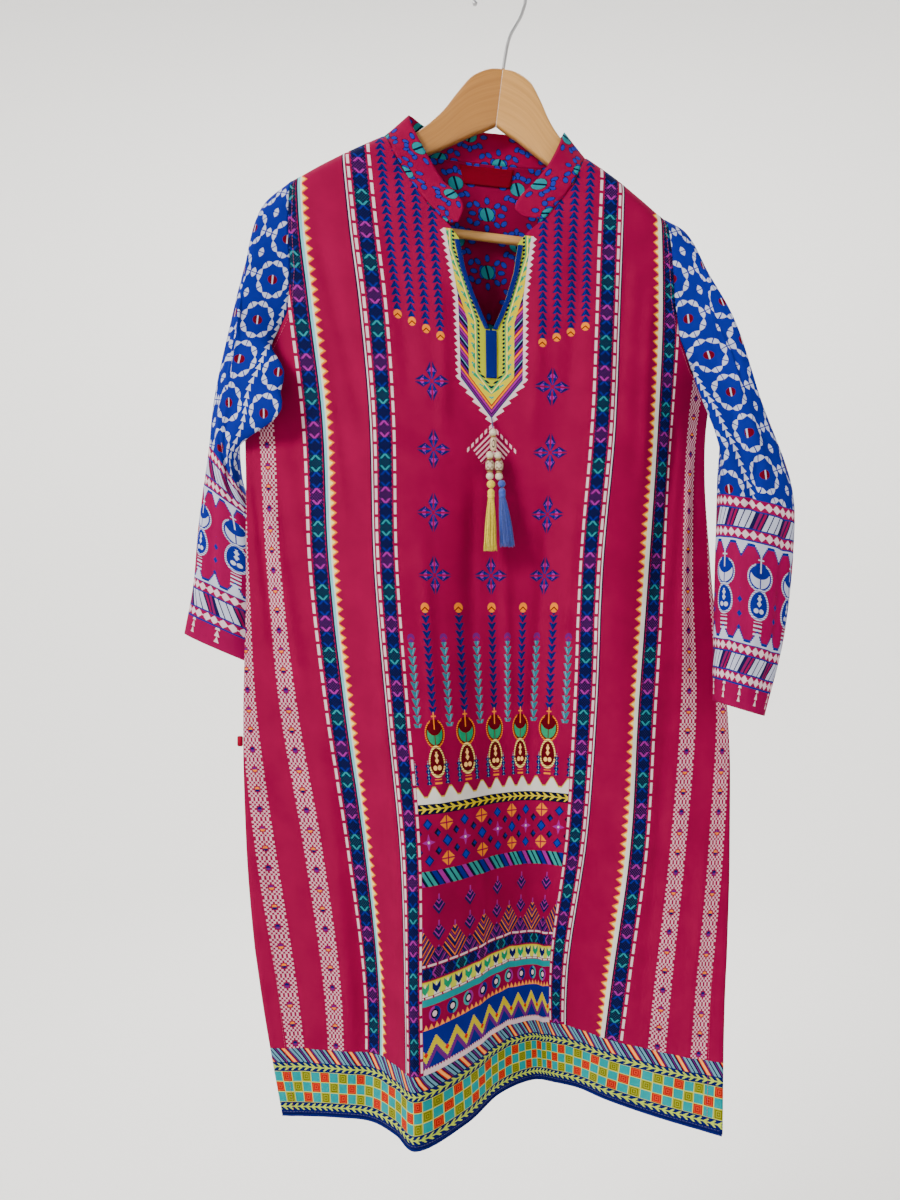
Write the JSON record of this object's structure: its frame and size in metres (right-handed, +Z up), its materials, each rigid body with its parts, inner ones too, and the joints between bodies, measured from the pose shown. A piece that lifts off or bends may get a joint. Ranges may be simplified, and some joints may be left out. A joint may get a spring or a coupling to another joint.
{
  "type": "kurta dress on a hanger",
  "caption": "Printed cotton kurta dress with stand collar, slit neck, side slits and beaded tassels, hanging on a wooden hanger with a wire hook.",
  "frame": {"origin": "inside top of the hanger's wire hook, where the hanger is held", "axes": "+Z up, the front of the dress faces -Y, +X to the right seen from the front"},
  "size_m": [0.6414, 0.1787, 1.2219],
  "materials": {
    "magenta_print": "soft matt printed cotton",
    "petal_print": "soft matt printed cotton",
    "blue_print": "soft matt printed cotton",
    "navy_cotton": "matt cotton binding",
    "label_red": "woven satin label",
    "tab_red": "folded cotton tape",
    "hanger_wood": "lacquered light wood",
    "steel_wire": "zinc-plated wire",
    "bone": "polished bone",
    "yellow_thread": "rayon thread",
    "blue_thread": "rayon thread"
  },
  "bodies": {
    "root": {"front_panel": "magenta_print", "back_panel": "petal_print", "sleeve_left": "blue_print", "sleeve_right": "blue_print", "collar": "petal_print", "neck_binding_left": "navy_cotton", "neck_binding_right": "navy_cotton", "placket": "navy_cotton", "hem_piping_front": "navy_cotton", "hem_piping_back": "navy_cotton", "neck_label": "label_red", "side_tab": "tab_red", "hanger_arm_left": "hanger_wood", "hanger_arm_right": "hanger_wood", "hanger_bar": "hanger_wood", "hanger_hook": "steel_wire", "bead_top": "bone", "bead_barrel": "bone", "bead_left_1": "bone", "bead_right_1": "bone", "bead_left_carved": "bone", "bead_right_carved": "bone", "bead_left_2": "bone", "bead_right_2": "bone", "bead_yellow": "yellow_thread", "bead_blue": "blue_thread", "tassel_yellow": "yellow_thread", "tassel_blue": "blue_thread", "pendant_thread": "navy_cotton"}
  },
  "joints": []
}
